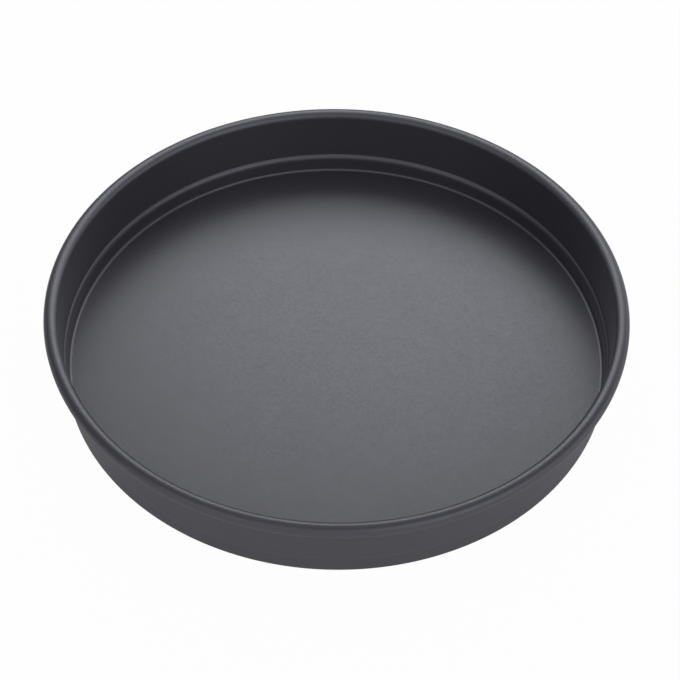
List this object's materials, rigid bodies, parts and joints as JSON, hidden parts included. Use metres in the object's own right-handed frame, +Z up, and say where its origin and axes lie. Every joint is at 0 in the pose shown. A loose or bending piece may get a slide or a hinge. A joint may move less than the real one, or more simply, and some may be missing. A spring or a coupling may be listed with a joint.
{
  "type": "round cake pan",
  "caption": "Round straight-sided baking pan with a rolled rim, a stacking step low in its wall and a flat floor, in dark anodised aluminium.",
  "frame": {"origin": "middle of the underside, on the surface the pan stands on", "axes": "+Z up along the pan's axis; X and Y are any two square directions across the pan"},
  "size_m": [0.3824, 0.3824, 0.0529],
  "materials": {
    "anodised_aluminium": "hard anodised, dark grey, satin",
    "steel_wire": "drawn wire, dull"
  },
  "bodies": {
    "root": {"pan_body": "anodised_aluminium", "rim_wire": "steel_wire"}
  },
  "joints": []
}
